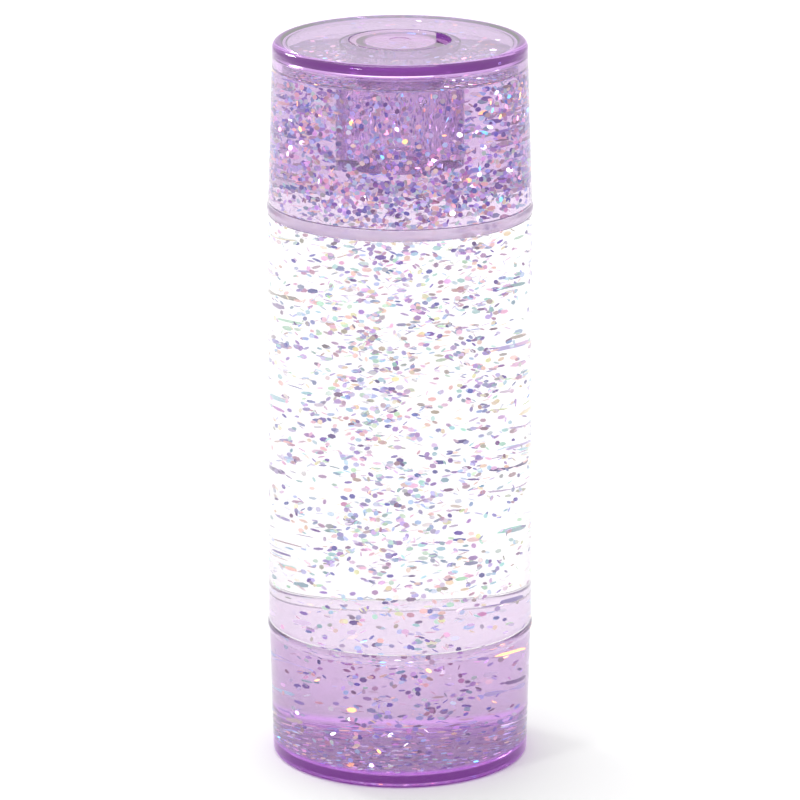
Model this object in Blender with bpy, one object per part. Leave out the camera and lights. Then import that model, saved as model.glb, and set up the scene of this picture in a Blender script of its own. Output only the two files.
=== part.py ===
"""Liquid glitter tube, a sealed hand-held sensory and stage toy: a clear tube between two purple caps.

The tube's ends are turned down into thin necks, and each cap's mouth laps over one of them and is
bonded to it. The tube is filled through a hole in the top cap, and a hollow push-in plug closes it.
Inside are the clear liquid, a pocket of air under the lid, and glitter: the flakes that have come to
rest on the floor are one bed here.

Units are metres, +Z is up, and the origin is the middle of the base's underside.
"""

import math

import bmesh
import bpy

MM = 0.001
GAP = 0.3 * MM  # clearance between two pieces that touch

HEIGHT = 152.4 * MM
STEPS_ROUND = 64  # flats round each turned piece
ARC_STEPS = 3  # flats in each rounded corner

# The clear tube. Moulding draft makes it a little wider at the bottom.
TUBE_TOP_RADIUS = 27.25 * MM
TUBE_BOTTOM_RADIUS = 27.6 * MM
BORE_TOP_RADIUS = 25.1 * MM
BORE_BOTTOM_RADIUS = 25.4 * MM
NECK_THICKNESS = 0.9 * MM
NECK_LENGTH = 2.4 * MM

# What both caps share.
BEAD_HEIGHT = 2.2 * MM
BEAD_SWELL = 0.3 * MM  # how far the lip's bead stands out from the cap's wall
CAP_FLOOR = 2.2 * MM
INNER_CORNER = 1.2 * MM

# The base cap, a cup with a shallow hollow under its floor, so that it stands on a ring.
BASE_LIP = 29.2 * MM  # height of its mouth
BASE_MOUTH_WALL_RADIUS = 27.5 * MM
BASE_FOOT_WALL_RADIUS = 26.75 * MM
BASE_WALL = 2.05 * MM
BASE_CORNER = 0.9 * MM
FOOT_RING_INNER_RADIUS = 23.5 * MM
FOOT_HOLLOW = 0.4 * MM

# The top cap, a deeper cup turned over, with the filler hole in its lid.
TOP_LIP = 116.8 * MM
TOP_MOUTH_WALL_RADIUS = 27.2 * MM
TOP_LID_WALL_RADIUS = 26.1 * MM
TOP_WALL = 2.0 * MM
TOP_CORNER = 1.3 * MM
BOSS_RADIUS = 12.4 * MM
BOSS_LEDGE = 1.5 * MM

# The filler plug: a flat head let into the lid, and a hollow skirt that hangs below it.
HEAD_RADIUS = 10.4 * MM
HEAD_THICKNESS = 1.6 * MM
SKIRT_RADIUS = 9.0 * MM
SKIRT_WALL = 1.5 * MM
SKIRT_END = HEIGHT - 25.0 * MM
NOTCH_CHORD = 0.71 * HEAD_RADIUS  # the pry notch is the part of the head past this chord
NOTCH_DEPTH = 1.1 * MM

# What is inside.
LIQUID_SURFACE = HEIGHT - 5.9 * MM
BED_RADIUS = 23.4 * MM
BED_THICKNESS = 0.7 * MM

CAP_PURPLE = (0.42, 0.2, 0.68)
PLUG_PURPLE = (0.38, 0.17, 0.64)
TUBE_CLEAR = (0.93, 0.94, 0.95)
LIQUID_CLEAR = (0.96, 0.95, 0.98)
GLITTER_LILAC = (0.62, 0.55, 0.74)


def clear_scene():
    for thing in list(bpy.data.objects):
        bpy.data.objects.remove(thing, do_unlink=True)


def plastic(name, colour, roughness, see_through):
    material = bpy.data.materials.new(name)
    material.use_nodes = True
    shader = material.node_tree.nodes["Principled BSDF"]
    shader.inputs["Base Color"].default_value = (*colour, 1.0)
    shader.inputs["Roughness"].default_value = roughness
    shader.inputs["Metallic"].default_value = 0.0
    shader.inputs["Transmission Weight"].default_value = see_through
    return material


def rounded(corners):
    """The outline with each corner (r, z, radius) of radius over 0 turned into a short arc."""
    outline = []
    count = len(corners)
    for i, (r, z, radius) in enumerate(corners):
        if radius == 0:
            outline.append((r, z))
            continue
        before = corners[i - 1]
        after = corners[(i + 1) % count]
        to_before = (before[0] - r, before[1] - z)
        to_after = (after[0] - r, after[1] - z)
        length_before = math.hypot(*to_before)
        length_after = math.hypot(*to_after)
        unit_before = (to_before[0] / length_before, to_before[1] / length_before)
        unit_after = (to_after[0] / length_after, to_after[1] / length_after)
        cosine = unit_before[0] * unit_after[0] + unit_before[1] * unit_after[1]
        half_angle = math.acos(cosine) / 2
        reach = radius / math.tan(half_angle)
        bisector = (unit_before[0] + unit_after[0], unit_before[1] + unit_after[1])
        stretch = radius / math.sin(half_angle) / math.hypot(*bisector)
        centre = (r + bisector[0] * stretch, z + bisector[1] * stretch)
        start = (r + unit_before[0] * reach, z + unit_before[1] * reach)
        end = (r + unit_after[0] * reach, z + unit_after[1] * reach)
        first = math.atan2(start[1] - centre[1], start[0] - centre[0])
        turn = math.atan2(end[1] - centre[1], end[0] - centre[0]) - first
        turn = (turn + math.pi) % (2 * math.pi) - math.pi
        for step in range(ARC_STEPS + 1):
            angle = first + turn * step / ARC_STEPS
            point = (centre[0] + radius * math.cos(angle), centre[1] + radius * math.sin(angle))
            outline.append(point)
    return outline


def turned(name, corners, material):
    """A solid of revolution about Z, from a closed outline, or from one that starts and ends on the axis."""
    outline = rounded(corners)
    touches_axis = outline[0][0] == 0 and outline[-1][0] == 0
    shape = bmesh.new()
    points = [shape.verts.new((r, 0.0, z)) for r, z in outline]
    edges = [shape.edges.new(pair) for pair in zip(points, points[1:])]
    if not touches_axis:
        edges.append(shape.edges.new((points[-1], points[0])))
    bmesh.ops.spin(
        shape,
        geom=points + edges,
        cent=(0.0, 0.0, 0.0),
        axis=(0.0, 0.0, 1.0),
        angle=2 * math.pi,
        steps=STEPS_ROUND,
        use_merge=True,
    )
    bmesh.ops.remove_doubles(shape, verts=shape.verts, dist=0.001 * MM)
    bmesh.ops.recalc_face_normals(shape, faces=shape.faces)
    mesh = bpy.data.meshes.new(name)
    shape.to_mesh(mesh)
    shape.free()
    mesh.shade_smooth()
    mesh.set_sharp_from_angle(angle=math.radians(30))
    piece = bpy.data.objects.new(name, mesh)
    piece.data.materials.append(material)
    bpy.context.scene.collection.objects.link(piece)
    return piece


def bead(mouth_radius, low):
    """The half-round swelling of a cap's lip, from its lower end at height low to its upper end."""
    middle = low + BEAD_HEIGHT / 2
    quarter = BEAD_HEIGHT / 4
    return [
        (mouth_radius, low, 0),
        (mouth_radius + 0.75 * BEAD_SWELL, middle - quarter, 0),
        (mouth_radius + BEAD_SWELL, middle, 0),
        (mouth_radius + 0.75 * BEAD_SWELL, middle + quarter, 0),
        (mouth_radius, low + BEAD_HEIGHT, 0),
    ]


def make_base_cap():
    inner_mouth = BORE_BOTTOM_RADIUS + NECK_THICKNESS + GAP
    inner_wall = BASE_MOUTH_WALL_RADIUS - BASE_WALL
    neck_seat = BASE_LIP - NECK_LENGTH
    corners = [
        (0, FOOT_HOLLOW, 0),
        (FOOT_RING_INNER_RADIUS, FOOT_HOLLOW, 0),
        (FOOT_RING_INNER_RADIUS + FOOT_HOLLOW, 0, 0),
        (BASE_FOOT_WALL_RADIUS, 0, BASE_CORNER),
        *bead(BASE_MOUTH_WALL_RADIUS, BASE_LIP - BEAD_HEIGHT),
        (inner_mouth, BASE_LIP, 0),
        (inner_mouth, neck_seat, 0),
        (inner_wall, neck_seat, 0),
        (BASE_FOOT_WALL_RADIUS - BASE_WALL, CAP_FLOOR, INNER_CORNER),
        (0, CAP_FLOOR, 0),
    ]
    return turned("base_cap", corners, plastic("base_purple", CAP_PURPLE, 0.06, 0.9))


def make_clear_tube():
    bottom = BASE_LIP + GAP
    top = TOP_LIP - GAP
    corners = [
        (BORE_BOTTOM_RADIUS, bottom - NECK_LENGTH, 0),
        (BORE_BOTTOM_RADIUS + NECK_THICKNESS, bottom - NECK_LENGTH, 0),
        (BORE_BOTTOM_RADIUS + NECK_THICKNESS, bottom, 0),
        (TUBE_BOTTOM_RADIUS, bottom, 0),
        (TUBE_TOP_RADIUS, top, 0),
        (BORE_TOP_RADIUS + NECK_THICKNESS, top, 0),
        (BORE_TOP_RADIUS + NECK_THICKNESS, top + NECK_LENGTH, 0),
        (BORE_TOP_RADIUS, top + NECK_LENGTH, 0),
    ]
    return turned("clear_tube", corners, plastic("tube_clear", TUBE_CLEAR, 0.04, 0.97))


def make_top_cap():
    inner_mouth = BORE_TOP_RADIUS + NECK_THICKNESS + GAP
    neck_seat = TOP_LIP + NECK_LENGTH
    ledge = HEIGHT - HEAD_THICKNESS - GAP
    hole = SKIRT_RADIUS + GAP
    corners = [
        (inner_mouth, TOP_LIP, 0),
        *bead(TOP_MOUTH_WALL_RADIUS, TOP_LIP),
        (TOP_LID_WALL_RADIUS, HEIGHT, TOP_CORNER),
        (HEAD_RADIUS + GAP, HEIGHT, 0),
        (HEAD_RADIUS + GAP, ledge, 0),
        (hole, ledge, 0),
        (hole, ledge - BOSS_LEDGE, 0),
        (BOSS_RADIUS, ledge - BOSS_LEDGE, 0),
        (BOSS_RADIUS, HEIGHT - CAP_FLOOR, 0),
        (TOP_LID_WALL_RADIUS - TOP_WALL, HEIGHT - CAP_FLOOR, INNER_CORNER),
        (TOP_MOUTH_WALL_RADIUS - TOP_WALL, neck_seat, 0),
        (inner_mouth, neck_seat, 0),
    ]
    return turned("top_cap", corners, plastic("top_purple", CAP_PURPLE, 0.06, 0.9))


def make_notch_cutter():
    """A block past the chord of the head, as deep as the pry notch."""
    shape = bmesh.new()
    bmesh.ops.create_cube(shape, size=1.0)
    width = HEAD_RADIUS
    depth = 2 * NOTCH_DEPTH
    bmesh.ops.scale(shape, vec=(width, 3 * HEAD_RADIUS, depth), verts=shape.verts)
    bmesh.ops.translate(shape, vec=(NOTCH_CHORD + width / 2, 0, HEIGHT), verts=shape.verts)
    mesh = bpy.data.meshes.new("notch_cutter")
    shape.to_mesh(mesh)
    shape.free()
    cutter = bpy.data.objects.new("notch_cutter", mesh)
    cutter.hide_render = True
    cutter.display_type = "WIRE"
    bpy.context.scene.collection.objects.link(cutter)
    return cutter


def make_filler_plug():
    inner = SKIRT_RADIUS - SKIRT_WALL
    under_head = HEIGHT - HEAD_THICKNESS
    corners = [
        (0, under_head, 0),
        (inner, under_head, 0),
        (inner, SKIRT_END, 0),
        (SKIRT_RADIUS, SKIRT_END, 0),
        (SKIRT_RADIUS, under_head, 0),
        (HEAD_RADIUS, under_head, 0),
        (HEAD_RADIUS, HEIGHT, 0),
        (0, HEIGHT, 0),
    ]
    plug = turned("filler_plug", corners, plastic("plug_purple", PLUG_PURPLE, 0.08, 0.85))
    notch = plug.modifiers.new("pry_notch", "BOOLEAN")
    notch.operation = "DIFFERENCE"
    notch.solver = "EXACT"
    notch.object = make_notch_cutter()
    return plug


def make_liquid():
    floor = CAP_FLOOR + GAP + BED_THICKNESS + GAP
    corners = [
        (0, floor, 0),
        (BASE_FOOT_WALL_RADIUS - BASE_WALL - GAP, floor, INNER_CORNER),
        (BASE_MOUTH_WALL_RADIUS - BASE_WALL - 2 * GAP, BASE_LIP - NECK_LENGTH, 0),
        (BORE_BOTTOM_RADIUS - GAP, BASE_LIP, 0),
        (BORE_TOP_RADIUS - GAP, TOP_LIP + NECK_LENGTH, 0),
        (TOP_LID_WALL_RADIUS - TOP_WALL - GAP, LIQUID_SURFACE, 0),
        (SKIRT_RADIUS + GAP, LIQUID_SURFACE, 0),
        (SKIRT_RADIUS + GAP, SKIRT_END - GAP, 0),
        (0, SKIRT_END - GAP, 0),
    ]
    return turned("liquid", corners, plastic("liquid_clear", LIQUID_CLEAR, 0.0, 1.0))


def make_glitter_bed():
    low = CAP_FLOOR + GAP
    corners = [
        (0, low, 0),
        (BED_RADIUS, low, 0),
        (BED_RADIUS - BED_THICKNESS, low + BED_THICKNESS, 0),
        (0, low + BED_THICKNESS, 0),
    ]
    return turned("glitter_bed", corners, plastic("glitter_lilac", GLITTER_LILAC, 0.35, 0.0))


def main():
    clear_scene()
    make_base_cap()
    make_clear_tube()
    make_top_cap()
    make_filler_plug()
    make_liquid()
    make_glitter_bed()


main()
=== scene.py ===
# %% [markdown]
# # A liquid glitter tube
#
# The object is a sealed toy: a clear moulded tube, a purple translucent cap bonded over each end, and
# inside it a clear liquid with a pocket of air on top and some thousands of glitter flakes that sink
# slowly. Nearly everything that the eye sees comes through clear walls, so this lesson is about
# building real walls with two sides, filling them with a liquid, and letting the light bend.
#
# The solid model is loaded first. Its nodes give the sizes and places, and every piece made here
# rides on one of its bodies.

import math

import bmesh
import bpy
import numpy as np
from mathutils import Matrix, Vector, noise


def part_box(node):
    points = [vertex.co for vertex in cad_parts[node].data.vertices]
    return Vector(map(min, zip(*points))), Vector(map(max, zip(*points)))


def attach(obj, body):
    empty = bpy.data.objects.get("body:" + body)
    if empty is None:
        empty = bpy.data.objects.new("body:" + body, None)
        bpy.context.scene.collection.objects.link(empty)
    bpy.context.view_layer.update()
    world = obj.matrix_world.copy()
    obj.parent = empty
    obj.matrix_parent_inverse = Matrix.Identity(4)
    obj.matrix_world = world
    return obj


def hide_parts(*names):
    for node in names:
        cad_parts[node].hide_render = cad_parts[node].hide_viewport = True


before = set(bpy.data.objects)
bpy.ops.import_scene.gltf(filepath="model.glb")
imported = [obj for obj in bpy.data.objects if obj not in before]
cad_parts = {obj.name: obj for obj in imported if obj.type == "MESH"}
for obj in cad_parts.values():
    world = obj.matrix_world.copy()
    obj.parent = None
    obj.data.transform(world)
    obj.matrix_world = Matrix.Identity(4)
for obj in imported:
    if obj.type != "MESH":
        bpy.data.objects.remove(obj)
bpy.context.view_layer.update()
MM = 0.001

# %% [markdown]
# ## Sizes
#
# A node's box gives its ends and its greatest radius. For a wall's other radii, a small helper looks
# at the rings of points that the solid model has at one height. The sizes that the solid model
# doesn't hold, such as how tightly two pieces sit against each other, are named here.

# %% Read the sizes off the solid model
SAME_LEVEL = 0.02 * MM


def ring_radii(node, height):
    """The radii, smallest first, of a node's rings of points at a height, to a thousandth of a mm."""
    points = np.array([point.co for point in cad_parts[node].data.vertices])
    level = points[np.abs(points[:, 2] - height) < SAME_LEVEL]
    return sorted(set(np.round(np.hypot(level[:, 0], level[:, 1]), 6)))


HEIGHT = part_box("top_cap")[1].z
BASE_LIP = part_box("base_cap")[1].z
TOP_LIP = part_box("top_cap")[0].z
TUBE_LOW_END, TUBE_HIGH_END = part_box("clear_tube")[0].z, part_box("clear_tube")[1].z
LIQUID_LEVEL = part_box("liquid")[1].z
SKIRT_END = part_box("filler_plug")[0].z
HEAD_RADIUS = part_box("filler_plug")[1].y
SKIRT_INNER_RADIUS, SKIRT_RADIUS = ring_radii("filler_plug", SKIRT_END)
BASE_BEAD_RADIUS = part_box("base_cap")[1].x
TOP_BEAD_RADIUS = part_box("top_cap")[1].x
BED_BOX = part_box("glitter_bed")
BORE_LOW, NECK_LOW = ring_radii("clear_tube", TUBE_LOW_END)
BORE_HIGH, NECK_HIGH = ring_radii("clear_tube", TUBE_HIGH_END)

BEAD_SWELL = 0.3 * MM
BEAD_HEIGHT = 2.2 * MM
FLOOR_THICKNESS = 2.2 * MM
SNUG = 0.03 * MM  # the air left between two dry pieces that touch
WETTED = 0.06 * MM  # how far the liquid's surface is let into a wall, so that no air is left between
print(f"height {HEIGHT / MM:.1f} mm, liquid up to {LIQUID_LEVEL / MM:.1f} mm")
print(f"beads {2 * BASE_BEAD_RADIUS / MM:.1f} and {2 * TOP_BEAD_RADIUS / MM:.1f} mm across")
print(f"bore {2 * BORE_LOW / MM:.1f} mm at the bottom and {2 * BORE_HIGH / MM:.1f} mm at the top")

# %% [markdown]
# ## Camera, floor and light
#
# A clear thing shows what stands round it, so the surroundings come before the object. They are a
# white table and a white room that is a little greyer at its sides: through the middle of the tube
# one sees straight back to the white, and at its edges, where the light is bent most, the sides of
# the room draw a thin grey line round it. A soft light in front at the left makes the highlights on
# the lid's rim, one behind it brightens the far edges, and a large one overhead lights the lid. The
# glitter's glints are not the lamps' but painted, as emission.

# %% Camera
CAMERA_DISTANCE = 1.03
CAMERA_HEIGHT = 0.371
CAMERA_PITCH = math.radians(15.98)
LENS_MM = 232.0

camera_data = bpy.data.cameras.new("camera")
camera_data.lens = LENS_MM
camera_data.clip_start = 0.05
camera_data.clip_end = 20.0
camera = bpy.data.objects.new("camera", camera_data)
camera.location = (0.0, -CAMERA_DISTANCE, CAMERA_HEIGHT)
camera.rotation_euler = (math.pi / 2 - CAMERA_PITCH, 0.0, 0.0)
bpy.context.scene.collection.objects.link(camera)
bpy.context.scene.camera = camera
print(f"camera {CAMERA_DISTANCE} m away, {CAMERA_HEIGHT} m high")

# %% Floor
def deselect_all():
    """Leaves nothing selected, so that the next step touches only what it makes or picks."""
    bpy.ops.object.select_all(action="DESELECT")


def principled(name):
    """A new material and its Principled shader."""
    material = bpy.data.materials.new(name)
    material.use_nodes = True
    return material, material.node_tree.nodes["Principled BSDF"]


TABLE_SIZE = 8.0
TABLE_WHITE = (0.94, 0.94, 0.94, 1.0)

deselect_all()
bpy.ops.mesh.primitive_plane_add(size=TABLE_SIZE, location=(0.0, 0.0, 0.0))
table_top = bpy.context.object
table_top.name = "table_top"
table_white, table_shader = principled("table_white")
table_shader.inputs["Base Color"].default_value = TABLE_WHITE
table_shader.inputs["Roughness"].default_value = 0.9
table_shader.inputs["Specular IOR Level"].default_value = 0.0
table_top.data.materials.append(table_white)

# %% Room and lights
ROOM_BACK = 1.06  # how bright the white side of the room is
ROOM_SIDES = 0.97
SIDES_END = -0.35  # how far towards the back a direction points where the sides start to brighten
BACK_STARTS = 0.55

world = bpy.data.worlds.new("white_room")
world.use_nodes = True
bpy.context.scene.world = world
room_nodes, room_links = world.node_tree.nodes, world.node_tree.links
direction = room_nodes.new("ShaderNodeTexCoord")
split = room_nodes.new("ShaderNodeSeparateXYZ")
ramp = room_nodes.new("ShaderNodeMapRange")
ramp.interpolation_type = "SMOOTHSTEP"
ramp.inputs["From Min"].default_value = SIDES_END
ramp.inputs["From Max"].default_value = BACK_STARTS
ramp.inputs["To Min"].default_value = ROOM_SIDES
ramp.inputs["To Max"].default_value = ROOM_BACK
room_links.new(direction.outputs["Generated"], split.inputs["Vector"])
room_links.new(split.outputs["Y"], ramp.inputs["Value"])
room_links.new(ramp.outputs["Result"], room_nodes["Background"].inputs["Strength"])
room_nodes["Background"].inputs["Color"].default_value = (1.0, 1.0, 1.0, 1.0)


def soft_light(name, place, side, watts):
    """A square soft light that faces the middle of the object."""
    data = bpy.data.lights.new(name, "AREA")
    data.shape = "RECTANGLE"
    data.size = data.size_y = side
    data.energy = watts
    lamp = bpy.data.objects.new(name, data)
    lamp.location = place
    facing = Vector((0.0, 0.0, HEIGHT / 2)) - Vector(place)
    lamp.rotation_euler = facing.to_track_quat("-Z", "Y").to_euler()
    bpy.context.scene.collection.objects.link(lamp)


soft_light("key_light", place=(-0.75, -0.75, 0.95), side=0.2, watts=2.6)
soft_light("rim_light", place=(-0.80, 0.72, 0.72), side=0.24, watts=3.0)
soft_light("top_light", place=(-0.1, 0.4, 1.3), side=0.7, watts=3.2)

# %% [markdown]
# A filled tube is also a light guide: light that comes in near its edge can be mirrored from wall to
# wall a hundred times before it gets out. If it is given up sooner, the edges turn grey, so the
# number of bounces is set high. Few rays need them, and they cost little.

# %% Bounces
LIGHT_GUIDE_BOUNCES = 400
DIFFUSE_BOUNCES = 16
scene = bpy.context.scene
scene.view_settings.view_transform = "Standard"
for limit in ("max_bounces", "transmission_bounces", "glossy_bounces"):
    setattr(scene.cycles, limit, LIGHT_GUIDE_BOUNCES)
scene.cycles.diffuse_bounces = DIFFUSE_BOUNCES

# %% [markdown]
# ## What moulded plastic looks like
#
# A polished moulding is never quite even: the melt leaves a faint waviness, and handling leaves fine
# scuffs. All the plastic pieces share that, so it is one node group with five inputs, placed in each
# material with its own values. Wave Size is how many waves go into a metre. The group gives out a
# roughness and a height for a Bump node, and a colour that is a little deeper where the melt swirled.

# %% A node group for moulded plastic
WAVE_DETAIL = 2.0
SCUFFS_IN_A_METRE = 900.0
SCUFF_DETAIL = 4.0
SCUFFS_START, SCUFFS_FULL = 0.5, 0.8  # the noise's values between which a scuff fades in


def add_socket(group, name, way, kind, value=None):
    """Adds an input or an output to a node group, with the value it starts from."""
    socket = group.interface.new_socket(name, in_out=way, socket_type=kind)
    if value is not None:
        socket.default_value = value


def moulded_surface():
    """The node group for the waves, scuffs and swirls of a moulded surface."""
    group = bpy.data.node_groups.new("moulded_surface", "ShaderNodeTree")
    add_socket(group, "Wave Size", "INPUT", "NodeSocketFloat", 60.0)
    add_socket(group, "Smoothest", "INPUT", "NodeSocketFloat", 0.0)
    add_socket(group, "Roughest", "INPUT", "NodeSocketFloat", 0.05)
    add_socket(group, "Clear Colour", "INPUT", "NodeSocketColor", (1.0, 1.0, 1.0, 1.0))
    add_socket(group, "Swirl Colour", "INPUT", "NodeSocketColor", (0.97, 0.97, 0.97, 1.0))
    add_socket(group, "Colour", "OUTPUT", "NodeSocketColor")
    add_socket(group, "Roughness", "OUTPUT", "NodeSocketFloat")
    add_socket(group, "Height", "OUTPUT", "NodeSocketFloat")
    nodes, links = group.nodes, group.links
    inside, outside = nodes.new("NodeGroupInput"), nodes.new("NodeGroupOutput")
    place = nodes.new("ShaderNodeTexCoord")
    waves = nodes.new("ShaderNodeTexNoise")
    waves.inputs["Detail"].default_value = WAVE_DETAIL
    scuffs = nodes.new("ShaderNodeTexNoise")
    scuffs.inputs["Scale"].default_value = SCUFFS_IN_A_METRE
    scuffs.inputs["Detail"].default_value = SCUFF_DETAIL
    scuff_mask = nodes.new("ShaderNodeMapRange")
    scuff_mask.inputs["From Min"].default_value = SCUFFS_START
    scuff_mask.inputs["From Max"].default_value = SCUFFS_FULL
    blend = nodes.new("ShaderNodeMix")
    blend.data_type = "RGBA"
    links.new(place.outputs["Object"], waves.inputs["Vector"])
    links.new(place.outputs["Object"], scuffs.inputs["Vector"])
    links.new(inside.outputs["Wave Size"], waves.inputs["Scale"])
    links.new(scuffs.outputs["Fac"], scuff_mask.inputs["Value"])
    links.new(inside.outputs["Smoothest"], scuff_mask.inputs["To Min"])
    links.new(inside.outputs["Roughest"], scuff_mask.inputs["To Max"])
    links.new(waves.outputs["Fac"], blend.inputs["Factor"])
    links.new(inside.outputs["Clear Colour"], blend.inputs["A"])
    links.new(inside.outputs["Swirl Colour"], blend.inputs["B"])
    links.new(blend.outputs["Result"], outside.inputs["Colour"])
    links.new(scuff_mask.outputs["Result"], outside.inputs["Roughness"])
    links.new(waves.outputs["Fac"], outside.inputs["Height"])
    return group


MOULDED = moulded_surface()
print("group sockets:", [socket.name for socket in MOULDED.interface.items_tree])

# %% [markdown]
# A purple cap is dyed all through, so where the light goes further inside the plastic the purple is
# deeper. A colour painted on the surface can't do that, and a volume absorption can: the walls come
# out pale lilac, and the rims, where one looks along the plastic, come out a strong violet.

# %% The purple, clear and liquid materials
PURPLE_DENSITY = 190.0
PURPLE = (0.475, 0.08, 0.6, 1.0)
PLASTIC_IOR = 1.57
LIQUID_IOR = 1.45
LIQUID_DENSITY = 2.4
LIQUID_TINT = (0.2, 0.0, 0.1, 1.0)
WHITE = (1.0, 1.0, 1.0)


def see_through(name, ior, wave_size, wave_depth, smoothest, roughest, swirl, clear=WHITE):
    """A transparent moulded material, with the group's waviness and scuffs on its surface."""
    material, shader = principled(name)
    nodes, links = material.node_tree.nodes, material.node_tree.links
    surface = nodes.new("ShaderNodeGroup")
    surface.node_tree = MOULDED
    surface.inputs["Wave Size"].default_value = wave_size
    surface.inputs["Smoothest"].default_value = smoothest
    surface.inputs["Roughest"].default_value = roughest
    surface.inputs["Clear Colour"].default_value = (*clear, 1.0)
    surface.inputs["Swirl Colour"].default_value = (*swirl, 1.0)
    bump = nodes.new("ShaderNodeBump")
    bump.inputs["Strength"].default_value = 1.0
    bump.inputs["Distance"].default_value = wave_depth
    links.new(surface.outputs["Colour"], shader.inputs["Base Color"])
    links.new(surface.outputs["Roughness"], shader.inputs["Roughness"])
    links.new(surface.outputs["Height"], bump.inputs["Height"])
    links.new(bump.outputs["Normal"], shader.inputs["Normal"])
    shader.inputs["Transmission Weight"].default_value = 1.0
    shader.inputs["IOR"].default_value = ior
    return material


def dye(material, density, colour):
    """Dyes a transparent material all through."""
    nodes, links = material.node_tree.nodes, material.node_tree.links
    absorption = nodes.new("ShaderNodeVolumeAbsorption")
    absorption.inputs["Density"].default_value = density
    absorption.inputs["Color"].default_value = colour
    links.new(absorption.outputs["Volume"], nodes["Material Output"].inputs["Volume"])


cap_purple = see_through("cap_purple", PLASTIC_IOR, wave_size=45.0, wave_depth=0.02 * MM,
                         smoothest=0.0, roughest=0.035, swirl=(0.97, 0.965, 0.975))
dye(cap_purple, PURPLE_DENSITY, PURPLE)
plug_purple = see_through("plug_purple", PLASTIC_IOR, wave_size=90.0, wave_depth=0.02 * MM,
                          smoothest=0.01, roughest=0.05, swirl=(0.97, 0.96, 0.975))
dye(plug_purple, PURPLE_DENSITY, PURPLE)
tube_clear = see_through("tube_clear", PLASTIC_IOR, wave_size=35.0, wave_depth=0.015 * MM,
                         smoothest=0.0, roughest=0.03, swirl=(0.985, 0.985, 0.99))
liquid_clear = see_through("liquid_clear", LIQUID_IOR, wave_size=25.0, wave_depth=0.004 * MM,
                           smoothest=0.0, roughest=0.0, swirl=(0.995, 0.992, 0.997))
dye(liquid_clear, LIQUID_DENSITY, LIQUID_TINT)
print("materials:", sorted(material.name for material in bpy.data.materials))

# %% [markdown]
# Dyed transparent plastic gathers light inside and lets it out at its rims, so a rim shines in the
# plastic's own colour where one would expect it to be nearly black. That light is painted on as an
# emission, and a second group makes a mask for the painted light: it is white on the outer corners of
# the lid and of the foot, and fades out along the walls. The plug's flat head takes the same group
# with no inner limit, so that all of it gets a little painted light.

# %% A node group for the painted light on the rims
# Painted light: emission colours that stand in for the light the dyed plastic lets out at its rims and
# over the plug's head.
PAINTED_RIM_LIGHT = (0.15, 0.018, 0.21)
PAINTED_HEAD_LIGHT = (0.065, 0.03, 0.055)
RIM_RADIUS = 24.1 * MM
RIM_DEPTH = 1.5 * MM  # the painted light is full down to this under the lid's top, and gone at twice that
FOOT_PAINTED_LIGHT_FULL = 3.0 * MM  # and over the foot, full up to here
FOOT_PAINTED_LIGHT_END = 3.9 * MM
PAINTED_LIGHT_EDGE = 0.6 * MM
EVERYWHERE = -1.0 * MM  # a radius that every point is outside of


def fade(nodes, links, value, start, end):
    """A smooth step from 0 at start to 1 at end."""
    step = nodes.new("ShaderNodeMapRange")
    step.interpolation_type = "SMOOTHSTEP"
    step.inputs["From Min"].default_value = start
    step.inputs["From Max"].default_value = end
    links.new(value, step.inputs["Value"])
    return step.outputs["Result"]


def painted_rim_light_group():
    """The node group that gives the painted light's colour outside a radius, near the lid and the foot."""
    group = bpy.data.node_groups.new("painted_rim_light_group", "ShaderNodeTree")
    add_socket(group, "Painted Light", "INPUT", "NodeSocketColor", (*PAINTED_RIM_LIGHT, 1.0))
    add_socket(group, "From Radius", "INPUT", "NodeSocketFloat", RIM_RADIUS)
    add_socket(group, "Colour", "OUTPUT", "NodeSocketColor")
    nodes, links = group.nodes, group.links
    inside, outside = nodes.new("NodeGroupInput"), nodes.new("NodeGroupOutput")
    place = nodes.new("ShaderNodeTexCoord")
    parts = nodes.new("ShaderNodeSeparateXYZ")
    flat = nodes.new("ShaderNodeVectorMath")
    flat.operation = "MULTIPLY"
    flat.inputs[1].default_value = (1.0, 1.0, 0.0)
    radius = nodes.new("ShaderNodeVectorMath")
    radius.operation = "LENGTH"
    links.new(place.outputs["Object"], parts.inputs["Vector"])
    links.new(place.outputs["Object"], flat.inputs[0])
    links.new(flat.outputs["Vector"], radius.inputs[0])
    beyond = nodes.new("ShaderNodeMath")
    beyond.operation = "SUBTRACT"
    links.new(radius.outputs["Value"], beyond.inputs[0])
    links.new(inside.outputs["From Radius"], beyond.inputs[1])
    outer = fade(nodes, links, beyond.outputs["Value"], 0.0, PAINTED_LIGHT_EDGE)
    high = fade(nodes, links, parts.outputs["Z"], HEIGHT - 2 * RIM_DEPTH, HEIGHT - RIM_DEPTH)
    low = fade(nodes, links, parts.outputs["Z"], FOOT_PAINTED_LIGHT_END, FOOT_PAINTED_LIGHT_FULL)
    either = nodes.new("ShaderNodeMath")
    either.operation = "MAXIMUM"
    both = nodes.new("ShaderNodeMath")
    both.operation = "MULTIPLY"
    mix = nodes.new("ShaderNodeMix")
    mix.data_type = "RGBA"
    mix.inputs["A"].default_value = (0.0, 0.0, 0.0, 1.0)
    links.new(high, either.inputs[0])
    links.new(low, either.inputs[1])
    links.new(either.outputs["Value"], both.inputs[0])
    links.new(outer, both.inputs[1])
    links.new(both.outputs["Value"], mix.inputs["Factor"])
    links.new(inside.outputs["Painted Light"], mix.inputs["B"])
    links.new(mix.outputs["Result"], outside.inputs["Colour"])
    return group


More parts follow.
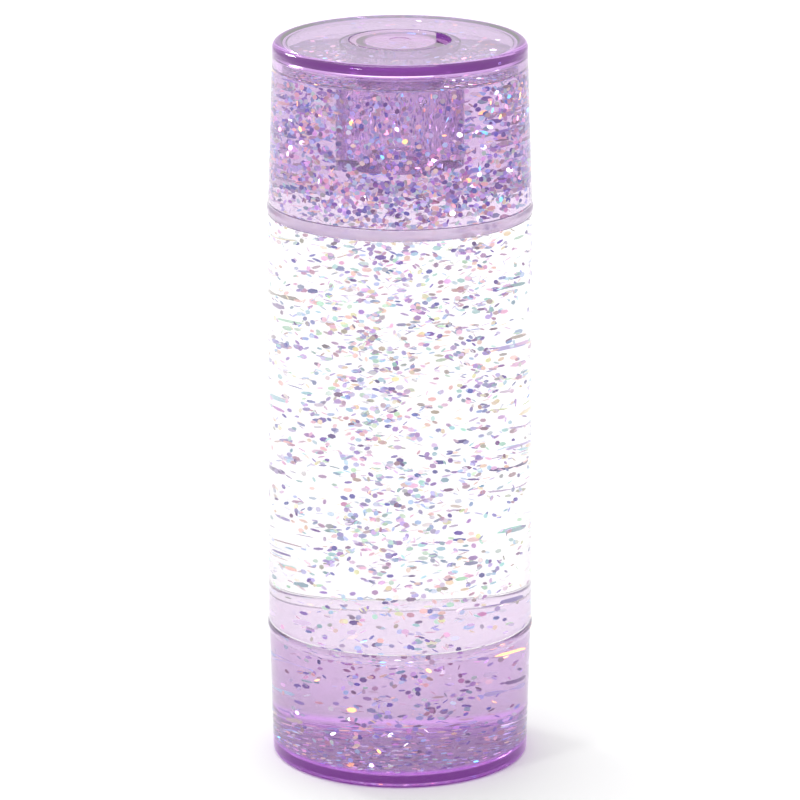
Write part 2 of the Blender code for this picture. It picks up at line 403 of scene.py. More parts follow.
def add_painted_light(material, group, colour, from_radius):
    """Paints light into a material's emission where the group says."""
    nodes, links = material.node_tree.nodes, material.node_tree.links
    glow = nodes.new("ShaderNodeGroup")
    glow.node_tree = group
    glow.inputs["Painted Light"].default_value = (*colour, 1.0)
    glow.inputs["From Radius"].default_value = from_radius
    shader = nodes["Principled BSDF"]
    links.new(glow.outputs["Colour"], shader.inputs["Emission Color"])
    shader.inputs["Emission Strength"].default_value = 1.0


# The caps get the painted light on their rims, and the plug's head a fainter painted light all over.
rims = painted_rim_light_group()
add_painted_light(cap_purple, rims, PAINTED_RIM_LIGHT, RIM_RADIUS)
add_painted_light(plug_purple, rims, PAINTED_HEAD_LIGHT, EVERYWHERE)
print("rims glow outside", RIM_RADIUS / MM, "mm")

# %% [markdown]
# ## Turning a piece
#
# All the shells are round, so each is drawn as half of its section and spun about the upright axis.
# By hand that is: a plane merged down to one point, the point extruded from corner to corner, the
# corners bevelled, and the outline spun. The ring where the spin closes is merged, and on a section
# that starts and ends on the axis, so is the middle.

# %% Helpers for turned pieces
ROUND_STEPS = 192
MERGE = 0.001 * MM
EDGE = 0.1 * MM  # how far a moulded edge is rounded, as none is quite sharp
SHARP_FROM = math.radians(32.0)


def select_where(condition):
    """In edit mode, selects the points whose place meets a condition, and nothing else."""
    bpy.ops.mesh.select_mode(type="VERT")
    bpy.ops.mesh.select_all(action="DESELECT")
    drawing = bmesh.from_edit_mesh(bpy.context.object.data)
    for point in drawing.verts:
        if condition(point.co):
            point.select = True
    drawing.select_flush(True)
    bmesh.update_edit_mesh(bpy.context.object.data)


def draw_outline(name, corners):
    """Extrudes a point along the corners (r, z, ...), and leaves the outline open in edit mode."""
    deselect_all()
    bpy.ops.mesh.primitive_plane_add(size=1.0, location=(0.0, 0.0, 0.0))
    bpy.context.object.name = name
    bpy.ops.object.mode_set(mode="EDIT")
    bpy.ops.mesh.select_mode(type="VERT")
    bpy.ops.mesh.merge(type="CENTER")
    pen_r = pen_z = 0.0
    for number, (r, z, *_) in enumerate(corners):
        step = (r - pen_r, 0.0, z - pen_z)
        if number == 0:
            bpy.ops.transform.translate(value=step)
        else:
            bpy.ops.mesh.extrude_region_move(TRANSFORM_OT_translate={"value": step})
        pen_r, pen_z = r, z


def smooth_shell(piece):
    """Smooths the shading, and lets the large faces decide it, so that the small corners don't bend it."""
    bpy.ops.object.shade_smooth_by_angle(angle=SHARP_FROM)
    even = piece.modifiers.new("even_shading", "WEIGHTED_NORMAL")
    even.mode = "FACE_AREA"
    even.weight = 100
    even.keep_sharp = True
    bpy.ops.object.modifier_apply(modifier=even.name)


def turn(name, corners, material, segments=6, steps=ROUND_STEPS):
    """A solid of revolution from a section whose corners are (r, z, radius)."""
    draw_outline(name, corners)
    ends = (corners[0], corners[-1])
    if ends[0][0] > 0 or ends[1][0] > 0:
        near = [Vector((r, 0.0, z)) for r, z, *_ in ends]
        select_where(lambda place: min((place - spot).length for spot in near) < MERGE)
        bpy.ops.mesh.edge_face_add()
    for r, z, radius in corners:
        if radius > 0:
            corner = Vector((r, 0.0, z))
            select_where(lambda place: (place - corner).length < MERGE)
            bpy.ops.mesh.bevel(affect="VERTICES", offset=radius, segments=segments, profile=0.5)
    bpy.ops.mesh.select_all(action="SELECT")
    bpy.ops.mesh.spin(steps=steps, angle=2 * math.pi, center=(0.0, 0.0, 0.0), axis=(0.0, 0.0, 1.0))
    bpy.ops.mesh.select_all(action="SELECT")
    bpy.ops.mesh.remove_doubles(threshold=MERGE)
    bpy.ops.mesh.normals_make_consistent(inside=False)
    bpy.ops.object.mode_set(mode="OBJECT")
    piece = bpy.context.object
    piece.data.materials.append(material)
    smooth_shell(piece)
    print(f"{name}: {len(piece.data.polygons)} faces")
    return piece


def bead(mouth_radius, low, points=9):
    """The outer side of a cap's lip, from its lower end to its upper one, swelling like half a lens."""
    around = []
    for number in range(points):
        share = number / (points - 1)
        swell = BEAD_SWELL * math.sin(math.pi * share)
        around.append((mouth_radius + swell, low + BEAD_HEIGHT * share, 0))
    return around

# %% [markdown]
# ## The base cap
#
# A cup that stands on a narrow ring, because a moulded floor is never flat enough to stand on all
# over. Its lip swells into a bead, and inside the mouth is a step that the tube's thin neck sits in.
# The bonding solvent leaves no air in that joint, so the step's wall is drawn a hair inside the neck.

# %% Base cap
BONDED = 0.02 * MM  # how far two bonded walls are let into each other
BASE_MOUTH_RADIUS = BASE_BEAD_RADIUS - BEAD_SWELL
BASE_FOOT_RADIUS = 26.75 * MM
BASE_WALL = 2.05 * MM
BASE_FOOT_ROUND = 0.9 * MM
FLOOR_FILLET = 1.2 * MM
FOOT_RING_RADIUS = 23.5 * MM
FOOT_HOLLOW = 0.4 * MM

base_cap = turn("base_cap_shell", [
    (0, FOOT_HOLLOW, 0),
    (FOOT_RING_RADIUS, FOOT_HOLLOW, 1.5 * EDGE),
    (FOOT_RING_RADIUS + FOOT_HOLLOW, 0, EDGE),
    (BASE_FOOT_RADIUS, 0, BASE_FOOT_ROUND),
    *bead(BASE_MOUTH_RADIUS, BASE_LIP - BEAD_HEIGHT),
    (NECK_LOW - BONDED, BASE_LIP, EDGE / 2),
    (NECK_LOW - BONDED, TUBE_LOW_END, 0),
    (BASE_MOUTH_RADIUS - BASE_WALL, TUBE_LOW_END, EDGE),
    (BASE_FOOT_RADIUS - BASE_WALL, FLOOR_THICKNESS, FLOOR_FILLET),
    (0, FLOOR_THICKNESS, 0),
], cap_purple)
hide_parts("base_cap")
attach(base_cap, "vessel")

# %% [markdown]
# ## The clear tube
#
# It is moulded with a little draft, so it is slightly wider at the bottom. Its ends are turned down
# to thin necks, and the full wall's shoulder sits on the cap's lip.

# %% Clear tube
CAD_LIP_GAP = 0.3 * MM  # what the solid model leaves between the tube's shoulder and the top lip
SHOULDER_EDGE = 0.12 * MM
TUBE_LOW_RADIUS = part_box("clear_tube")[1].x
TUBE_HIGH_RADIUS = ring_radii("clear_tube", TOP_LIP - CAD_LIP_GAP)[-1]
shoulder_low = BASE_LIP + SNUG
shoulder_high = TOP_LIP - SNUG

tube = turn("clear_tube_wall", [
    (BORE_LOW, TUBE_LOW_END, EDGE),
    (NECK_LOW, TUBE_LOW_END, EDGE),
    (NECK_LOW, shoulder_low, 0),
    (TUBE_LOW_RADIUS, shoulder_low, SHOULDER_EDGE),
    (TUBE_HIGH_RADIUS, shoulder_high, SHOULDER_EDGE),
    (NECK_HIGH, shoulder_high, 0),
    (NECK_HIGH, TUBE_HIGH_END, EDGE),
    (BORE_HIGH, TUBE_HIGH_END, EDGE),
], tube_clear, segments=3)
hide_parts("clear_tube")
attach(tube, "vessel")

# %% [markdown]
# ## The top cap
#
# The same cup turned over and made deeper. Its lid is let in for the plug's flat head, and a short
# boss on the underside gives the hole a longer wall to grip the plug's skirt.

# %% Top cap
TOP_MOUTH_RADIUS = TOP_BEAD_RADIUS - BEAD_SWELL
TOP_LID_RADIUS = 26.1 * MM
TOP_LID_ROUND = 1.3 * MM
TOP_WALL = 2.0 * MM
HEAD_THICKNESS = 1.6 * MM
HEAD_GAP = 0.1 * MM
BOSS_RADIUS = 12.4 * MM
BOSS_EDGE = 0.3 * MM
BOSS_FLOOR = 1.8 * MM  # how thick the boss is under the plug's head
BOSS_END = HEIGHT - HEAD_THICKNESS - BOSS_FLOOR
recess_floor = HEIGHT - HEAD_THICKNESS - SNUG

top_cap = turn("top_cap_shell", [
    (NECK_HIGH - BONDED, TOP_LIP, EDGE / 2),
    *bead(TOP_MOUTH_RADIUS, TOP_LIP),
    (TOP_LID_RADIUS, HEIGHT, TOP_LID_ROUND),
    (HEAD_RADIUS + HEAD_GAP, HEIGHT, EDGE),
    (HEAD_RADIUS + HEAD_GAP, recess_floor, 0),
    (SKIRT_RADIUS + SNUG, recess_floor, 0),
    (SKIRT_RADIUS + SNUG, BOSS_END, 0),
    (BOSS_RADIUS, BOSS_END, BOSS_EDGE),
    (BOSS_RADIUS, HEIGHT - FLOOR_THICKNESS, 0),
    (TOP_LID_RADIUS - TOP_WALL, HEIGHT - FLOOR_THICKNESS, FLOOR_FILLET),
    (TOP_MOUTH_RADIUS - TOP_WALL, TUBE_HIGH_END, EDGE),
    (NECK_HIGH - BONDED, TUBE_HIGH_END, 0),
], cap_purple)
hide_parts("top_cap")
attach(top_cap, "vessel")

# %% [markdown]
# ## The bond under the top lip
#
# The solvent that bonds the cap to the tube's neck leaves a band that is a little cloudy. It is a
# thin sleeve inside the joint, of a rough transparent plastic with a faint painted light in it, and
# it hides the glitter behind it.

# %% Bond sleeve
BOND_IOR = 1.08
BOND_CLARITY = 0.86
# Painted light: a faint emission that makes the cloudy band paler.
BOND_PAINTED_LIGHT = (0.05, 0.045, 0.05, 1.0)
bond_low, bond_high = TOP_LIP + 0.15 * MM, TUBE_HIGH_END - 0.1 * MM
bond_inner, bond_outer = NECK_HIGH - 3 * BONDED, NECK_HIGH + 2 * BONDED

bond_lilac = see_through("bond_lilac", BOND_IOR, wave_size=60.0, wave_depth=0.0,
                         smoothest=0.45, roughest=0.6, clear=(1.0, 0.97, 1.0), swirl=(0.96, 0.91, 0.98))
bond_shader = bond_lilac.node_tree.nodes["Principled BSDF"]
bond_shader.inputs["Transmission Weight"].default_value = BOND_CLARITY
bond_shader.inputs["Emission Color"].default_value = BOND_PAINTED_LIGHT
bond_shader.inputs["Emission Strength"].default_value = 1.0
bond = turn("bond_sleeve", [
    (bond_inner, bond_low, 0),
    (bond_outer, bond_low, 0),
    (bond_outer, bond_high, 0),
    (bond_inner, bond_high, 0),
], bond_lilac)
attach(bond, "vessel")

# %% [markdown]
# ## The filler plug
#
# The factory fills the tube through the lid and pushes this plug in. It is a disc with a hollow
# skirt. A moon-shaped notch at one side of the head takes a thumbnail or a blade, and a small round
# mark in the middle is where the plastic was let into the mould. The mark is turned with the rest,
# and the notch is cut with a Boolean, as on the solid model. The even shading is cleared before the
# cut and made again after it, because the new faces would take over a bent one.

# %% Filler plug
NOTCH_CHORD = 0.71 * HEAD_RADIUS
NOTCH_DEPTH = 1.1 * MM
MARK_RADIUS = 2.2 * MM
MARK_DEPTH = 0.06 * MM
LEDGE_HEIGHT = 1.9 * MM  # the skirt's end is turned in to a ledge that stiffens it
LEDGE_RADIUS = SKIRT_INNER_RADIUS - 3.0 * MM
SKIRT_EDGE = 0.3 * MM
SKIRT_FILLET = 0.4 * MM
HEAD_EDGE = 0.2 * MM
under_head = HEIGHT - HEAD_THICKNESS

plug = turn("filler_plug_body", [
    (0, under_head, 0),
    (SKIRT_INNER_RADIUS, under_head, SKIRT_FILLET),
    (SKIRT_INNER_RADIUS, SKIRT_END + LEDGE_HEIGHT, SKIRT_EDGE),
    (LEDGE_RADIUS, SKIRT_END + LEDGE_HEIGHT, SKIRT_EDGE),
    (LEDGE_RADIUS, SKIRT_END, SKIRT_EDGE),
    (SKIRT_RADIUS, SKIRT_END, SKIRT_EDGE),
    (SKIRT_RADIUS, SKIRT_END + 2 * SKIRT_EDGE, 0),
    (SKIRT_RADIUS, under_head, 0),
    (HEAD_RADIUS, under_head, EDGE),
    (HEAD_RADIUS, HEIGHT, HEAD_EDGE),
    (HEAD_RADIUS - 2.5 * HEAD_EDGE, HEIGHT, 0),
    (MARK_RADIUS + 3 * EDGE, HEIGHT, 0),
    (MARK_RADIUS, HEIGHT, EDGE / 2),
    (MARK_RADIUS - MARK_DEPTH, HEIGHT - MARK_DEPTH, EDGE / 2),
    (0, HEIGHT - MARK_DEPTH, 0),
], plug_purple, segments=4, steps=128)

deselect_all()
bpy.ops.mesh.primitive_cube_add(size=1.0, location=(NOTCH_CHORD + HEAD_RADIUS / 2, 0.0, HEIGHT))
notch_block = bpy.context.object
notch_block.name = "notch_block"
bpy.ops.transform.resize(value=(HEAD_RADIUS, 3 * HEAD_RADIUS, 2 * NOTCH_DEPTH))
bpy.ops.object.transform_apply(location=True, rotation=True, scale=True)
deselect_all()
plug.select_set(True)
bpy.context.view_layer.objects.active = plug
bpy.ops.mesh.customdata_custom_splitnormals_clear()
cut = plug.modifiers.new("pry_notch", "BOOLEAN")
cut.operation = "DIFFERENCE"
cut.solver = "EXACT"
cut.object = notch_block
bpy.ops.object.modifier_apply(modifier=cut.name)
bpy.data.objects.remove(notch_block)
smooth_shell(plug)
print("filler plug with its notch:", len(plug.data.polygons), "faces")
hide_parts("filler_plug")
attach(plug, "plug")

# %% [markdown]
# ## The liquid
#
# It fills all of the inside up to a little under the lid, and it wets the walls, so its surface is
# let a hair into them: drawn short of the wall it would leave a film of air that would shine like a
# mirror. Where it ends in air, against the wall and round the plug's skirt, it climbs a little.

# %% Liquid
CLIMB = 0.9 * MM
CLIMB_REACH = 2.6 * MM
POCKET_SAG = 0.4 * MM  # the liquid under the skirt's trapped air stands this far below its end


def inner_wall(height):
    """The radius of the inside of the vessel at a height."""
    if height < TUBE_LOW_END:
        share = (height - FLOOR_THICKNESS) / (TUBE_LOW_END - FLOOR_THICKNESS)
        low, high = BASE_FOOT_RADIUS - BASE_WALL, BASE_MOUTH_RADIUS - BASE_WALL
    elif height < TUBE_HIGH_END:
        share = (height - TUBE_LOW_END) / (TUBE_HIGH_END - TUBE_LOW_END)
        low, high = BORE_LOW, BORE_HIGH
    else:
        share = (height - TUBE_HIGH_END) / (HEIGHT - FLOOR_THICKNESS - TUBE_HIGH_END)
        low, high = TOP_MOUTH_RADIUS - TOP_WALL, TOP_LID_RADIUS - TOP_WALL
    return low + (high - low) * share


def meniscus(wall, inwards, level, points=6):
    """The liquid's surface from its highest point at a wall down to its level, inwards along r."""
    curve = []
    for number in range(points):
        share = number / (points - 1)
        rise = CLIMB * (1 - share) ** 3
        curve.append((wall + inwards * CLIMB_REACH * share, level + rise, 0))
    return curve


outer_wall = inner_wall(LIQUID_LEVEL) + WETTED
skirt_wall = SKIRT_RADIUS - WETTED
pool = turn("liquid_pool", [
    (0, FLOOR_THICKNESS - WETTED, 0),
    (BASE_FOOT_RADIUS - BASE_WALL + WETTED, FLOOR_THICKNESS - WETTED, 1.2 * MM),
    (inner_wall(TUBE_LOW_END - MERGE) + WETTED, TUBE_LOW_END, 0),
    (BORE_LOW + WETTED, TUBE_LOW_END + 2 * WETTED, 0),
    (BORE_HIGH + WETTED, TUBE_HIGH_END - 2 * WETTED, 0),
    (inner_wall(TUBE_HIGH_END) + WETTED, TUBE_HIGH_END, 0),
    *meniscus(outer_wall, -1, LIQUID_LEVEL),
    *reversed(meniscus(skirt_wall, 1, LIQUID_LEVEL)),
    (skirt_wall, SKIRT_END + WETTED, 0),
    (LEDGE_RADIUS + WETTED, SKIRT_END + WETTED, 0),
    (LEDGE_RADIUS - 2 * POCKET_SAG, SKIRT_END - 0.75 * POCKET_SAG, POCKET_SAG / 2),
    (0, SKIRT_END - POCKET_SAG, 0),
], liquid_clear)
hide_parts("liquid")
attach(pool, "vessel")

# %% [markdown]
# ## Glitter
#
# The flakes are punched out of a very thin holographic film, so they are six-sided, all one size, and
# each one throws back one colour. Just after the tube has been turned over, many of them are still
# in a thick cloud at the top and tumble every way, and lower down most of them sail flat.
#
# One flake is modelled: a six-sided disc, extruded to a thickness. Thousands of copies of it go into a
# few pieces, each copy with its own place, turn and colour. The colour sits on the points as an
# attribute, because a flake is far too small to paint any other way.

# %% One flake
FLAKE_RADIUS = 0.56 * MM
FLAKE_THICKNESS = 0.04 * MM

deselect_all()
bpy.ops.mesh.primitive_circle_add(vertices=6, radius=FLAKE_RADIUS, fill_type="NGON")
flake = bpy.context.object
bpy.ops.object.mode_set(mode="EDIT")
bpy.ops.mesh.select_all(action="SELECT")
bpy.ops.mesh.extrude_region_move(TRANSFORM_OT_translate={"value": (0.0, 0.0, FLAKE_THICKNESS)})
bpy.ops.mesh.select_all(action="SELECT")
bpy.ops.mesh.normals_make_consistent(inside=False)
bpy.ops.object.mode_set(mode="OBJECT")
flake_points = np.array([point.co for point in flake.data.vertices])
flake_points[:, 2] -= FLAKE_THICKNESS / 2
flake_faces = [list(face.vertices) for face in flake.data.polygons]
bpy.data.objects.remove(flake)
print("a flake has", len(flake_faces), "faces")

# %% [markdown]
# The film's colours are pastels of every hue round a lilac grey. It mirrors the bright room from
# whichever side it is seen, and a few flakes lie so that they catch a lamp, and are far brighter than
# white paper. Both are painted: the glitter material has a second attribute, for a painted reflection
# and painted glints that a flake gives out as emission on top of its own colour.

# %% The glitter material
FILM_GRAIN_IN_A_METRE = 3000.0
FILM_SMOOTHEST, FILM_ROUGHEST = 0.22, 0.45
FILM_METALLIC = 0.35

glitter, glitter_shader = principled("glitter")
glitter_nodes, glitter_links = glitter.node_tree.nodes, glitter.node_tree.links
film_colour = glitter_nodes.new("ShaderNodeAttribute")
film_colour.attribute_name = "film_colour"
painted_film_light = glitter_nodes.new("ShaderNodeAttribute")
painted_film_light.attribute_name = "painted_film_light"
film_place = glitter_nodes.new("ShaderNodeTexCoord")
film_grain = glitter_nodes.new("ShaderNodeTexNoise")
film_grain.inputs["Scale"].default_value = FILM_GRAIN_IN_A_METRE
film_shine = glitter_nodes.new("ShaderNodeMapRange")
film_shine.inputs["To Min"].default_value = FILM_SMOOTHEST
film_shine.inputs["To Max"].default_value = FILM_ROUGHEST
glitter_links.new(film_place.outputs["Object"], film_grain.inputs["Vector"])
glitter_links.new(film_grain.outputs["Fac"], film_shine.inputs["Value"])
glitter_links.new(film_shine.outputs["Result"], glitter_shader.inputs["Roughness"])
glitter_links.new(film_colour.outputs["Color"], glitter_shader.inputs["Base Color"])
# The painted reflection and the painted glints go in as emission.
glitter_links.new(painted_film_light.outputs["Color"], glitter_shader.inputs["Emission Color"])
glitter_shader.inputs["Emission Strength"].default_value = 1.0
glitter_shader.inputs["Metallic"].default_value = FILM_METALLIC
print("glitter material:", len(glitter_nodes), "nodes")

# %% Colours of the film
PASTELS = (
    (0.78, 0.74, 0.90), (0.92, 0.76, 0.86), (0.70, 0.82, 0.93), (0.68, 0.86, 0.86),
    (0.95, 0.80, 0.74), (0.92, 0.89, 0.72), (0.74, 0.90, 0.78), (0.84, 0.84, 0.88),
)
GREY_LILACS = (
    (0.62, 0.56, 0.76), (0.56, 0.58, 0.74), (0.72, 0.58, 0.68), (0.55, 0.66, 0.72),
    (0.68, 0.64, 0.62), (0.60, 0.52, 0.74),
)
DEEP_ONES = ((0.42, 0.32, 0.64), (0.34, 0.36, 0.66), (0.50, 0.38, 0.52), (0.36, 0.26, 0.54))
# Painted glints: the colours that glinting flakes give out, and how strong a soft and a bright one are.
PAINTED_GLINT_COLOURS = ((1.0, 1.0, 1.0), (0.35, 0.75, 1.0), (1.0, 0.60, 0.68), (1.0, 0.72, 0.35), (0.95, 0.9, 1.0))
HUE_SPREAD = 0.035  # how much two flakes of one colour differ
DARKEST, PALEST = 0.05, 0.97
PAINTED_REFLECTION = 0.72  # painted reflection: the light from the room that the film mirrors, painted as a share of its colour
SOFT_PAINTED_GLINT = (0.1, 0.4)
BRIGHT_PAINTED_GLINT = (2.0, 6.0)
SCREEN_GAMMA = 2.2


def linear(colours):
    """Colours as a screen shows them, turned into amounts of light."""
    return np.asarray(colours) ** SCREEN_GAMMA


def film_colours(count, shares, dice):
    """A colour for each flake: shares are how much of it is pastel, grey lilac and deep."""
    families = (PASTELS, GREY_LILACS, DEEP_ONES)
    chosen = np.empty((count, 3))
    kinds = dice.choice(len(families), size=count, p=shares)
    for kind, family in enumerate(families):
        here = kinds == kind
        picks = dice.integers(0, len(family), here.sum())
        chosen[here] = np.array(family)[picks] + dice.normal(0.0, HUE_SPREAD, (here.sum(), 3))
    return linear(np.clip(chosen, DARKEST, PALEST))


def painted_film_glints(colours, painted_soft_share, painted_bright_share, dice):
    """The painted light that each flake gives out on top of its colour: mostly a painted reflection, a
    share of that colour, and for some flakes a painted glint.
    """
    count = len(colours)
    light = colours * PAINTED_REFLECTION
    luck = dice.random(count)
    painted_tint = linear(np.array(PAINTED_GLINT_COLOURS)[dice.integers(0, len(PAINTED_GLINT_COLOURS), count)])
    soft = luck < painted_soft_share
    bright = luck > 1 - painted_bright_share
    light[soft] += painted_tint[soft] * dice.uniform(*SOFT_PAINTED_GLINT, (soft.sum(), 1))
    light[bright] = painted_tint[bright] * dice.uniform(*BRIGHT_PAINTED_GLINT, (bright.sum(), 1))
    return light

# %% [markdown]
# A flake's lie is the direction that its flat side faces. Flat ones face up with some wobble, and
# tumbling ones face anywhere, a little more often forwards or backwards. From that direction and a
# random twist come the three axes of each copy.

# %% Lies, places and copies
TUMBLE = (0.85, 1.25, 0.75)
CLUMPS_IN_A_METRE = 110.0
WALL_GAP = 0.15 * MM
SKIRT_GAP = 0.6 * MM


def flat_lies(count, wobble, dice):
    """Directions for flakes that lie flat, give or take a wobble."""
    lies = np.column_stack([dice.normal(0, wobble, (count, 2)), np.ones(count)])
    return lies / np.linalg.norm(lies, axis=1, keepdims=True)


def tumbling_lies(count, dice):
    """Directions for flakes that tumble."""
    lies = dice.normal(0, 1, (count, 3)) * TUMBLE
    return lies / np.linalg.norm(lies, axis=1, keepdims=True)


def clear_of_skirt(r, z):
    """Whether a flake there is in the liquid, and not in the plug's skirt or in the air inside it."""
    return z < SKIRT_END - FLAKE_RADIUS - SKIRT_GAP or r > SKIRT_RADIUS + FLAKE_RADIUS


def cloud_places(count, low, high, clumping, wanted, dice):
    """Places in the liquid between two heights, where a smooth noise and a wish make them likelier."""
    places = []
    while len(places) < count:
        z = dice.uniform(low, high)
        widest = inner_wall(z) - FLAKE_RADIUS - WALL_GAP
        r = widest * math.sqrt(dice.random())
        angle = dice.uniform(0, 2 * math.pi)
        spot = (r * math.cos(angle), r * math.sin(angle), z)
        drift = 0.5 + clumping * noise.noise(Vector(spot) * CLUMPS_IN_A_METRE)
        if clear_of_skirt(r, z) and dice.random() < drift * wanted(*spot):
            places.append(spot)
    return np.array(places)


def copies_of_flake(name, places, lies, colours, painted_glints, dice):
    """One piece made of a copy of the flake at each place."""
    count, corners = len(places), len(flake_points)
    twist = dice.uniform(0, 2 * math.pi, count)
    helper = np.where(np.abs(lies[:, 2:]) < 0.9, (0.0, 0.0, 1.0), (1.0, 0.0, 0.0))
    side = np.cross(helper, lies)
    side /= np.linalg.norm(side, axis=1, keepdims=True)
    across = np.cross(lies, side)
    first = side * np.cos(twist)[:, None] + across * np.sin(twist)[:, None]
    second = np.cross(lies, first)
    axes = np.stack([first, second, lies], axis=1)
    points = np.einsum("pk,nkd->npd", flake_points, axes) + places[:, None, :]
    faces = [[corner + number * corners for corner in face]
             for number in range(count) for face in flake_faces]
    mesh = bpy.data.meshes.new(name)
    mesh.from_pydata(points.reshape(-1, 3).tolist(), [], faces)
    for label, values in (("film_colour", colours), ("painted_film_light", painted_glints)):
        layer = mesh.attributes.new(label, "FLOAT_COLOR", "POINT")
        rgba = np.ones((count, corners, 4), np.float32)
        rgba[:, :, :3] = values[:, None, :]
        layer.data.foreach_set("color", rgba.ravel())
    piece = bpy.data.objects.new(name, mesh)
    bpy.context.scene.collection.objects.link(piece)
    piece.data.materials.append(glitter)
    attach(piece, "vessel")
    print(f"{name}: {count} flakes")
    return piece

# %% [markdown]
# ## The cloud at the top
#
# The thickest of the cloud is in the top cap, thinner round the plug's skirt. A few flakes cling to
# the lid's underside, where they stuck when the tube was turned over, and show through it.

# %% Flakes in the top cap
def scatter(name, places, lies, shares, painted_tint, painted_soft_share, painted_bright_share, dice):
    """Copies of the flake at the places, with random colours, a painted tint for the light there, and
    painted glints.
    """
    colours = film_colours(len(places), shares, dice) * painted_tint
    painted_glints = painted_film_glints(colours, painted_soft_share, painted_bright_share, dice)
    return copies_of_flake(name, places, lies, colours, painted_glints, dice)


# The film's colour is also multiplied by a painted tint for the light where a flake floats: purple in the
# caps, a pinkish grey in the clear tube.
PAINTED_PURPLE_LIGHT = (0.96, 0.80, 0.96)  # painted light: the cap's light, painted into the film that it falls on
PAINTED_CLEAR_LIGHT = (0.90, 0.84, 0.86)
CORNER_GAP = 1.0 * MM
CLOUD_LOW = TOP_LIP + 2.6 * MM
CLOUD_HIGH = LIQUID_LEVEL - 1.0 * MM
THINNED_BESIDE = 7.0 * MM
THINNED_BELOW = 2.5 * MM


def thin_near_skirt(x, y, z):
    """The plug's skirt keeps flakes away from it, round it and just below it."""
    beside = math.hypot(x, y) - SKIRT_RADIUS < THINNED_BESIDE
    level_with_it = z > SKIRT_END - THINNED_BELOW
    return 0.25 if beside and level_with_it else 1.0


def lid_places(count, dice):
    """Places against the lid's underside, outside its boss."""
    widest = inner_wall(HEIGHT - FLOOR_THICKNESS) - FLAKE_RADIUS - CORNER_GAP
    narrowest = BOSS_RADIUS + FLAKE_RADIUS + BOSS_EDGE
    r = np.sqrt(dice.uniform(narrowest ** 2, widest ** 2, count))
    angle = dice.uniform(0, 2 * math.pi, count)
    z = np.full(count, HEIGHT - FLOOR_THICKNESS - 3 * FLAKE_THICKNESS)
    return np.column_stack([r * np.cos(angle), r * np.sin(angle), z])


dice = np.random.default_rng(41)
places = cloud_places(3000, CLOUD_LOW, CLOUD_HIGH, 0.75, thin_near_skirt, dice)
lies = tumbling_lies(len(places), dice)
scatter("glitter_cloud", places, lies, shares=(0.36, 0.42, 0.22), painted_tint=PAINTED_PURPLE_LIGHT,
        painted_soft_share=0.12, painted_bright_share=0.024, dice=dice)

# Most of the flakes on the lid carry a soft painted glint.
dice = np.random.default_rng(44)
places = lid_places(90, dice)
lies = flat_lies(len(places), 0.12, dice)
scatter("glitter_on_lid", places, lies, shares=(0.9, 0.1, 0.0), painted_tint=PAINTED_PURPLE_LIGHT,
        painted_soft_share=0.6, painted_bright_share=0.03, dice=dice)

# %% [markdown]
# ## Flakes sinking through the tube and the base
#
# Below the cloud the flakes are fewer the lower they are. Most of them sail down flat, and they keep
# to the middle, where nothing slows them. None is left against the wall behind the cloudy bond,
# because it would show through the bond as a dark bar.

# %% Flakes in the clear tube and in the base cap
CORE_RADIUS = 0.6 * BORE_LOW
SAILING_WOBBLE = 0.55
SINKING_LOW = BASE_LIP + 0.5 * MM
BY_BOND_BELOW = 1.0 * MM
BY_BOND_INSIDE = 4.0 * MM
DRAWN_IN = 0.75


def thinning(x, y, z):
    """Fewer flakes the further down the tube and out from its middle."""
    middle = 1.0 if math.hypot(x, y) < CORE_RADIUS else 0.55
    return middle * (0.5 + 0.5 * (z - BASE_LIP) / (TOP_LIP - BASE_LIP))


def mostly_middle(x, y, z):
    """Fewer flakes out from the middle of the base cap."""
    return 1.0 if math.hypot(x, y) < CORE_RADIUS else 0.45


def sailing_lies(count, tumbling_share, dice):
    """Mostly flat lies, with a share that tumble."""
    lies = flat_lies(count, SAILING_WOBBLE, dice)
    loose = dice.random(count) < tumbling_share
    lies[loose] = tumbling_lies(count, dice)[loose]
    return lies


dice = np.random.default_rng(52)
places = cloud_places(3500, SINKING_LOW, CLOUD_LOW, 0.9, thinning, dice)
from_axis = np.hypot(places[:, 0], places[:, 1])
by_bond = (places[:, 2] > TOP_LIP - BY_BOND_BELOW) & (from_axis > BORE_HIGH - BY_BOND_INSIDE)
places[by_bond, :2] *= DRAWN_IN
lies = sailing_lies(len(places), 0.3, dice)
scatter("glitter_sinking", places, lies, shares=(0.50, 0.40, 0.10), painted_tint=PAINTED_CLEAR_LIGHT,
        painted_soft_share=0.1, painted_bright_share=0.002, dice=dice)

dice = np.random.default_rng(63)
places = cloud_places(640, FLOOR_THICKNESS + FLOOR_FILLET, SINKING_LOW, 0.7, mostly_middle, dice)
lies = sailing_lies(len(places), 0.3, dice)
scatter("glitter_low", places, lies, shares=(0.36, 0.40, 0.24), painted_tint=PAINTED_PURPLE_LIGHT,
        painted_soft_share=0.1, painted_bright_share=0.02, dice=dice)

# %% [markdown]
# ## The settled bed
#
# The first flakes to arrive have come to rest on the floor of the base cap. They lie almost flat and
# over each other in a few layers, thin enough to see the floor between them.

# %% Settled flakes
def settled_places(count, dice):
    """Places all over the floor, within the height of the solid model's bed."""
    radius = inner_wall(FLOOR_THICKNESS) - FLAKE_RADIUS - CORNER_GAP
    r = radius * np.sqrt(dice.random(count))
    angle = dice.uniform(0, 2 * math.pi, count)
    z = dice.uniform(BED_BOX[0].z, BED_BOX[1].z, count)
    return np.column_stack([r * np.cos(angle), r * np.sin(angle), z])


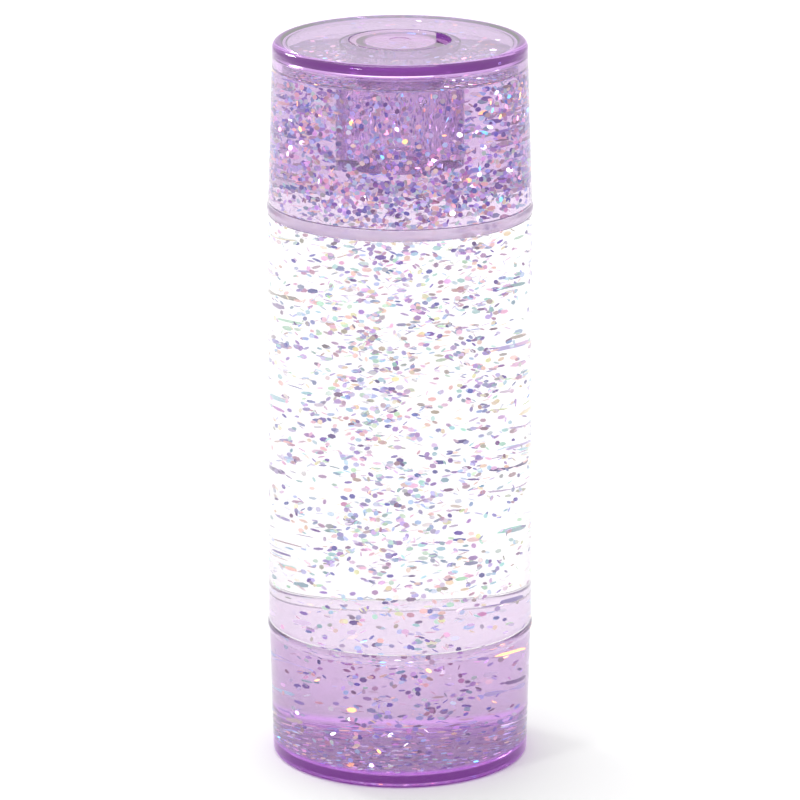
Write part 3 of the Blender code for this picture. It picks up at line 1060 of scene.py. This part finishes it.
dice = np.random.default_rng(74)
places = settled_places(420, dice)
lies = flat_lies(len(places), 0.08, dice)
bed = scatter("glitter_settled", places, lies, shares=(0.4, 0.4, 0.2), painted_tint=PAINTED_PURPLE_LIGHT,
              painted_soft_share=0.1, painted_bright_share=0.01, dice=dice)
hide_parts("glitter_bed")

# %% [markdown]
# ## Air bubbles
#
# Shaking leaves a few bubbles under the liquid's surface, against the wall. A bubble is a ball of air
# in the liquid, so its material's index is that of air seen from the liquid, below one. Each is a
# little flattened copy of one ball, and they are joined into one piece.

# %% Bubbles
BUBBLES = 16
BUBBLE_RADII = (0.25, 0.6)  # mm
BUBBLE_DEPTHS = (0.8, 3.0)  # mm under the liquid's surface
BUBBLE_ANGLES = (170.0, 300.0)
BUBBLE_FLATNESS = 0.85

bubble_air = see_through("bubble_air", 1.0 / LIQUID_IOR, wave_size=200.0, wave_depth=0.0,
                         smoothest=0.0, roughest=0.01, swirl=(0.98, 0.98, 0.99))
deselect_all()
bpy.ops.mesh.primitive_uv_sphere_add(segments=20, ring_count=10, radius=1.0)
ball = bpy.context.object
bpy.ops.object.shade_smooth()
dice = np.random.default_rng(85)
bubbles = []
for _ in range(BUBBLES):
    size = dice.uniform(*BUBBLE_RADII) * MM
    height = LIQUID_LEVEL - dice.uniform(*BUBBLE_DEPTHS) * MM
    away = inner_wall(height) - size - WALL_GAP
    angle = math.radians(dice.uniform(*BUBBLE_ANGLES))
    copy = ball.copy()
    copy.data = ball.data.copy()
    copy.scale = (size, size, BUBBLE_FLATNESS * size)
    copy.location = (away * math.cos(angle), away * math.sin(angle), height)
    bpy.context.scene.collection.objects.link(copy)
    bubbles.append(copy)
bpy.data.objects.remove(ball)
deselect_all()
for bubble in bubbles:
    bubble.select_set(True)
bpy.context.view_layer.objects.active = bubbles[0]
bpy.ops.object.transform_apply(location=True, rotation=True, scale=True)
bpy.ops.object.join()
froth = bpy.context.object
froth.name = "air_bubbles"
froth.data.materials.append(bubble_air)
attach(froth, "vessel")
print("bubbles:", len(bubbles))

# %% [markdown]
# ## Finish

# %% Finish
bpy.context.view_layer.update()
